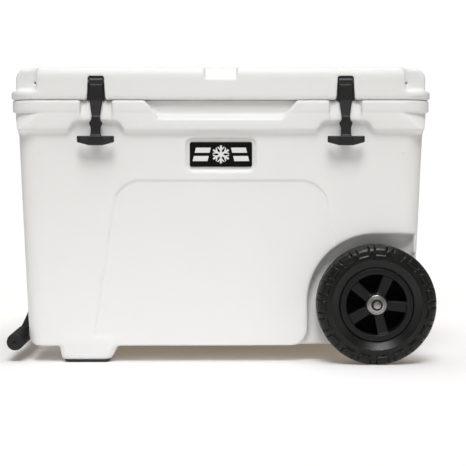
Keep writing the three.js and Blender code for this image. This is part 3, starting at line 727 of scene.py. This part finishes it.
def tyre_form(u, v, w):
    """A treaded tyre, in the hub's coordinates."""
    side_face = TYRE_HALF - 0.7
    tread_bottom, rib_bottom, rib_half = 86, 90, 15.5
    radius = np.hypot(u, w)
    reach = np.abs(v)
    # Carcass: a cone down to the rim, a flat side and a round shoulder.
    side = side_face - np.maximum(74 - radius, 0) * 0.72
    body = meet(radius - (TYRE_RADIUS - 4), reach - np.minimum(side, side_face), 13)
    body = meet(body, RIM_RADIUS + 0.3 - radius, 1)
    # Shoulder blocks, wide ones standing out and narrow ones a little lower between them.
    pitch = 360 / TREAD_BLOCKS
    turn = np.degrees(np.arctan2(u, w)) - FIRST_BLOCK
    arc = math.radians(1) * radius
    place = np.abs((turn + pitch / 2) % pitch - pitch / 2)
    shoulder = meet(radius - TYRE_RADIUS, reach - (TYRE_HALF - 0.1), 13)
    shoulder = np.maximum(shoulder, tread_bottom - radius)
    shoulder = np.maximum(shoulder, 9.5 - reach)
    wide = meet(shoulder, (place - (BLOCK_ARC / 2 - 0.5)) * arc, 0.8)
    narrow = meet(shoulder + 1.1, (BLOCK_ARC / 2 + 0.6 - place) * arc, 0.8)
    # Middle rib, cut by slanted grooves.
    turn_back = (turn + v * 0.35 + pitch / 4) % (pitch / 2) - pitch / 4
    rib = meet(np.maximum(radius - (TYRE_RADIUS - 0.2), rib_bottom - radius), reach - rib_half, 1.5)
    rib = carve(rib, np.maximum(np.abs(turn_back) * arc - 1.3, TYRE_RADIUS - 1.5 - radius), 0.6)
    body = merge(body, np.minimum(np.minimum(wide, narrow), rib), 0.8)
    # A notch with a slanted floor under each wide block.
    notch = np.maximum((side_face - (radius - 82) * 0.6 - reach) * 0.86, slab(radius, 81, tread_bottom))
    body = carve(body, np.maximum(notch, (place - BLOCK_ARC / 2) * arc), 0.3)
    # A fine raised ring where the cone meets the flat side.
    return merge(body, np.hypot(radius - 75.5, reach - (TYRE_HALF - 1.3)) - 1.3, 1)


def axle_box(middle, radius, half_width):
    """Lowest and highest corners round a wheel whose middle plane is at y = middle."""
    return ((WHEEL_X - radius, middle - half_width, WHEEL_Z - radius),
            (WHEEL_X + radius, middle + half_width, WHEEL_Z + radius))


def make_wheels():
    for name, side in SIDES.items():
        middle = side * WHEEL_Y
        body = "wheel_" + name

        def place(form):
            return lambda x, y, z: form(x - WHEEL_X, side * (y - middle), z - WHEEL_Z)

        tyre_box = axle_box(middle, 101, 27)
        hub_box = axle_box(middle, 62, 24)
        tyre = field_object("tyre_" + name + "_rubber", place(tyre_form), *tyre_box, 1.0, 0.01)
        dress(tyre, body, "tyre", TYRE, "tyre_" + name)
        hub = field_object("hub_" + name + "_moulding", place(hub_form), *hub_box, 1.1, 0.004)
        dress(hub, body, "wheel_plastic", WHEEL, "wheel_hub_" + name)
        # The disc behind the spokes takes the darker copy of the wheel plastic: painted shade that makes the
        # windows between the spokes look black.
        back = field_object("hub_back_" + name + "_disc", place(hub_back_form), *hub_box, 1.5)
        dress(back, body, "wheel_plastic", HUB_BACK_SHADE)
        make_wheel_fittings(name)


def ring_profile(inner, outer, near, far, edge):
    return softened([(inner, near), (outer, near), (outer, far), (inner, far)], edge)


def washer_profile(inner, near, far):
    """A flat ring, a groove and a raised rim, the same on both faces."""
    groove = near + (far - near) * 0.35
    face = [(inner, near), (11.8, near), (12.7, groove), (13.5, groove), (14.1, near), (15.1, near),
            (16, groove)]
    return face + [(radius, near + far - place) for radius, place in reversed(face)]


def make_wheel_fittings(name):
    centre = (WHEEL_X, 0, WHEEL_Z)
    low, high = node_box("axle_washer_" + name)
    profile = washer_profile(AXLE_BORE, low[1], high[1])
    washer = turned_object("axle_washer_" + name + "_ring", 1, centre, profile)
    dress(washer, "tub", "steel", STEEL, "axle_washer_" + name)
    for prefix, outer, edge in (("axle_clip_", 9.5, 0.6), ("axle_spacer_", 12, 0.8)):
        node = prefix + name
        low, high = node_box(node)
        profile = ring_profile(AXLE_BORE, outer, low[1], high[1], edge)
        piece = turned_object(node + "_ring", 1, centre, profile)
        dress(piece, "tub", "black_plastic", BLACK, node)


def make_axle():
    radius = 6.5
    low, high = node_box("axle")
    profile = [(0, low[1]), (radius, low[1]), (radius, high[1]), (0, high[1])]
    profile = softened(profile, 1.6, closed=False)
    axle = turned_object("axle_bar", 1, (WHEEL_X, 0, WHEEL_Z), profile, 48)
    dress(axle, "tub", "steel", STEEL, "axle")


# --- Feet ----------------------------------------------------------------------------------------

def make_feet():
    pitch, tread_depth, screw_spacing = 7, 0.9, 18
    margin = (10, 24, 0)  # the pads stand out of their nodes' boxes by less than this
    for name, side in SIDES.items():
        low, high = node_box("foot_pad_" + name)
        centre = (low + high) / 2

        def form(x, y, z):
            rise = z / high[2]
            along, across = x - centre[0] + 4, y - centre[1] - side * FOOT_OUTWARDS
            pad = rounded_rectangle(along, across, 36.5 + 2.5 * rise, 45.5 + rise, 9)
            treaded = rounded_rectangle(along, across, 33, 32, 6)
            pad = meet(pad, slab(z, 0, high[2]), 2.4)
            treads = np.abs((x - centre[0] + pitch / 2) % pitch - pitch / 2) - 1
            pad = carve(pad, np.maximum(np.maximum(treads, treaded), z - tread_depth), 0.2)
            holes = np.hypot(np.abs(x - centre[0]) - screw_spacing, y - centre[1])
            pad = carve(pad, np.maximum(holes - 5.3, z - 3), 0.3)
            return carve(pad, holes - 2.8)

        pad = field_object("foot_pad_" + name + "_rubber", form, low - margin, high + margin, (1.2, 1.2, 0.5))
        dress(pad, "tub", "black_rubber", RUBBER, "foot_pad_" + name)


# --- Tow handle ----------------------------------------------------------------------------------

def grip_profile(near, far, side):
    """A rubber sleeve with a shallow groove beside each rib, from its inner end to its outer end."""
    ribs, inner, outer, groove = 16, 9.3, 14.5, 0.9
    points = []
    for index in range(ribs):
        place = near + (far - near) * (index + 0.5) / ribs
        points += [(outer, place - side * 2.4), (outer, place + side * 1.8)]
        points += [(outer - groove, place + side * 2.4), (outer - groove, place + side * 3.6)]
    profile = [(inner, near), (13.3, near), *points[:-1], (14.3, far), (inner, far)]
    return softened(profile, 0.5)


def cap_profile(near, far, side):
    """A grip's end cap, with a bevelled rim and a sunk middle round its hole."""
    hole, outer, sunk = 2.5, 14, far - side * 1.2
    profile = [(hole, near), (outer, near), (outer, far - side * 1.4), (12.6, far), (5, far), (4.2, sunk),
               (hole, sunk)]
    return softened(profile, 0.5)


def make_handle():
    knee_x, knee_z = -315, 105
    arm_y, tube, core, eye_radius = 50, 11, 9, 14

    def form(x, y, z):
        ay = np.abs(y)
        arm = capsule(x, ay, z, (PIVOT_X, arm_y, PIVOT_Z), (knee_x, arm_y, knee_z), tube)
        shin = capsule(x, ay, z, (knee_x, arm_y, knee_z), (BAR_X, arm_y, BAR_Z), tube)
        across = meet(disc(x, z, BAR_X, BAR_Z, tube), ay - 62, 1.5)
        bar = meet(disc(x, z, BAR_X, BAR_Z, core), ay - 185.5, 1)
        eye = meet(disc(x, z, PIVOT_X, PIVOT_Z, eye_radius), np.abs(ay - arm_y) - tube, 1.5)
        body = merge(merge(arm, shin, 5), merge(across, bar, 1), 6)
        body = merge(body, eye, 4)
        return carve(body, disc(x, z, PIVOT_X, PIVOT_Z, 9.3), 0.5)

    low, high = node_box("handle_frame")
    handle = field_object("handle_tube_frame", form, low, high, 1.5, 0.005)
    dress(handle, "handle", "aluminium_tube", TUBE, "handle_frame")
    centre = (BAR_X, 0, BAR_Z)
    for name, side in SIDES.items():
        low, high = node_box("grip_" + name)
        near, far = (low[1], high[1]) if side > 0 else (high[1], low[1])
        profile = grip_profile(near, far, side)
        grip = turned_object("grip_" + name + "_sleeve", 1, centre, profile, 48, 60)
        dress(grip, "handle", "grip_rubber", GRIP, "grip_" + name)
        low, high = node_box("grip_cap_" + name)
        near, far = (low[1], high[1]) if side > 0 else (high[1], low[1])
        profile = cap_profile(near, far, side)
        cap = turned_object("grip_cap_" + name + "_disc", 1, centre, profile, 48)
        dress(cap, "handle", "black_plastic", BLACK, "grip_cap_" + name)


# --- Drain ---------------------------------------------------------------------------------------

def make_drain():
    low, high = node_box("drain_plug")
    head, flange_radius, stem_radius = 306.1, 18.5, 5.4
    bar_half_length, bar_half_width, thread_pitch = 15, 3.2, 3

    def form(x, y, z):
        up = z - DRAIN_Z
        radius = np.hypot(y, up)
        turn = np.arctan2(up, y)
        flange = meet(radius - flange_radius - 0.5 * np.cos(12 * turn), slab(x, head, head + 5), 1)
        bar_low = (head, -bar_half_length, -bar_half_width)
        bar_high = (high[0], bar_half_length, bar_half_width)
        bar = block(x, y, up, bar_low, bar_high, 2.4)
        stem = radius - stem_radius - 0.35 * np.sin(2 * math.pi * x / thread_pitch + turn)
        stem = np.maximum(stem, slab(x, low[0] + 0.5, head + 2))
        return merge(merge(flange, bar, 1.5), stem, 1)

    plug = field_object("drain_plug_moulding", form, low, high, 0.7)
    dress(plug, "drain", "black_plastic", BLACK, "drain_plug")


# --- Frame nodes that keep their CAD shape -------------------------------------------------------

def dress_frame_nodes():
    """Gives each node that is still shown a material and a small bevel."""
    kept = {
        "tub_fill_plug": BLACK, "lid_fill_plug": BLACK, "drain_insert": BLACK, "drain_gasket": RUBBER,
        "handle_pivot_rod": STEEL, "hinge_pin_left": STEEL, "hinge_pin_right": STEEL,
        "latch_pin_left": STEEL, "latch_pin_right": STEEL,
        **{"foot_screw_" + str(i): STEEL for i in range(1, 5)},
        **{"bearing_" + place + "_" + side: STEEL for place in ("inner", "outer") for side in SIDES},
        **{"handle_bush_" + side: BLACK for side in SIDES},
    }
    for name, material in kept.items():
        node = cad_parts[name]
        node.data.materials.clear()
        node.data.materials.append(material)
        bevel = node.modifiers.new("edges", "BEVEL")
        bevel.width = 0.25 * MM
        bevel.segments = 2
        bevel.limit_method = "ANGLE"
        bevel.angle_limit = math.radians(40)


# --- Stage ---------------------------------------------------------------------------------------

ROOM_LIGHT, ROOM_COLOR = 0.23, (1.0, 0.98, 0.94, 1.0)
BACKDROP_LIGHT = 1.02
# Name, azimuth from the front, elevation and angular size in degrees, strength.
SUNS = [
    ("key", 0, 54, 26, 1.77),
    ("left", -75, 15, 40, 0.2),
    ("right", 75, 15, 40, 0.2),
    ("overhead", 0, 90, 50, 0.9),
]
SPOT_PLACE, SPOT_AIM, SPOT_POWER, SPOT_ANGLE, SPOT_RADIUS = (0, -2.1, 2.1), (0, -0.2, 0.32), 31, 30, 0.35
FLOOR_RADIUS = 1.35
FLOOR_COLOR, GLOW_COLOR = (0.84, 0.85, 0.88), (1.0, 0.8, 0.57, 1.0)
GLOW_NEAR, GLOW_FAR = 0.1, 0.24
GLOW_START, GLOW_END = 0.42, 0.85  # distances from the middle of the floor between which it changes
CAMERA_PLACE, LENS = (0, -2.7365, 0.3484), 117.19
CAMERA_TIP, CAMERA_TURN = 2.93, -0.456  # degrees, down and anticlockwise seen from above


def make_floor():
    """A pale disc that glows faintly under the cooler and more away from it, and so meets the backdrop."""
    bpy.ops.mesh.primitive_circle_add(vertices=96, radius=FLOOR_RADIUS, fill_type="NGON")
    floor = bpy.context.object
    floor.name = "studio_floor"
    material = finish("studio_floor", FLOOR_COLOR, 0.8, tone=0.004, patch=1.5, depth=0.00001)
    nodes, links = material.node_tree.nodes, material.node_tree.links
    shader = nodes["Principled BSDF"]
    shader.inputs["Specular IOR Level"].default_value = 0.1
    shader.inputs["Emission Color"].default_value = GLOW_COLOR
    place = nodes.new("ShaderNodeTexCoord")
    distance = nodes.new("ShaderNodeVectorMath")
    distance.operation = "LENGTH"
    glow = nodes.new("ShaderNodeMapRange")
    glow.inputs["From Min"].default_value = GLOW_START
    glow.inputs["From Max"].default_value = GLOW_END
    glow.inputs["To Min"].default_value = GLOW_NEAR
    glow.inputs["To Max"].default_value = GLOW_FAR
    links.new(place.outputs["Object"], distance.inputs[0])
    links.new(distance.outputs["Value"], glow.inputs["Value"])
    links.new(glow.outputs["Result"], shader.inputs["Emission Strength"])
    floor.data.materials.append(material)


def make_room():
    """A studio that is dim all round, and plain white where the camera looks at it."""
    world = bpy.data.worlds.new("studio")
    bpy.context.scene.world = world
    world.use_nodes = True
    nodes, links = world.node_tree.nodes, world.node_tree.links
    room = nodes["Background"]
    room.inputs["Color"].default_value = ROOM_COLOR
    room.inputs["Strength"].default_value = ROOM_LIGHT
    backdrop = nodes.new("ShaderNodeBackground")
    backdrop.inputs["Color"].default_value = (1, 1, 1, 1)
    backdrop.inputs["Strength"].default_value = BACKDROP_LIGHT
    seen = nodes.new("ShaderNodeLightPath")
    mix = nodes.new("ShaderNodeMixShader")
    links.new(seen.outputs["Is Camera Ray"], mix.inputs[0])
    links.new(room.outputs[0], mix.inputs[1])
    links.new(backdrop.outputs[0], mix.inputs[2])
    links.new(mix.outputs[0], nodes["World Output"].inputs["Surface"])


def make_lights():
    """Soft suns, and a wide soft spot that is strongest on the middle of the front."""
    for name, azimuth, elevation, spread, power in SUNS:
        lamp = bpy.data.lights.new(name, "SUN")
        lamp.angle = math.radians(spread)
        lamp.energy = power
        light = bpy.data.objects.new(name, lamp)
        light.rotation_euler = (math.radians(90 - elevation), 0, math.radians(azimuth))
        bpy.context.scene.collection.objects.link(light)
    lamp = bpy.data.lights.new("front_spot", "SPOT")
    lamp.energy = SPOT_POWER
    lamp.spot_size = math.radians(SPOT_ANGLE)
    lamp.spot_blend = 1
    lamp.shadow_soft_size = SPOT_RADIUS
    light = bpy.data.objects.new("front_spot", lamp)
    light.location = SPOT_PLACE
    aim = Vector(SPOT_AIM) - light.location
    light.rotation_euler = aim.to_track_quat("-Z", "Y").to_euler()
    bpy.context.scene.collection.objects.link(light)


def make_camera():
    """A long lens in front of the cooler, tipped down and turned right a little."""
    camera = bpy.data.cameras.new("camera")
    camera.sensor_width = 36
    camera.lens = LENS
    eye = bpy.data.objects.new("camera", camera)
    eye.location = CAMERA_PLACE
    eye.rotation_euler = (math.radians(90 - CAMERA_TIP), 0, math.radians(CAMERA_TURN))
    bpy.context.scene.collection.objects.link(eye)
    bpy.context.scene.camera = eye


make_camera()
make_tub()
make_lid()
make_latches()
make_badge()
make_wheels()
make_axle()
make_feet()
make_handle()
make_drain()
dress_frame_nodes()
make_floor()
make_room()
make_lights()
bpy.context.scene.view_settings.view_transform = "Standard"
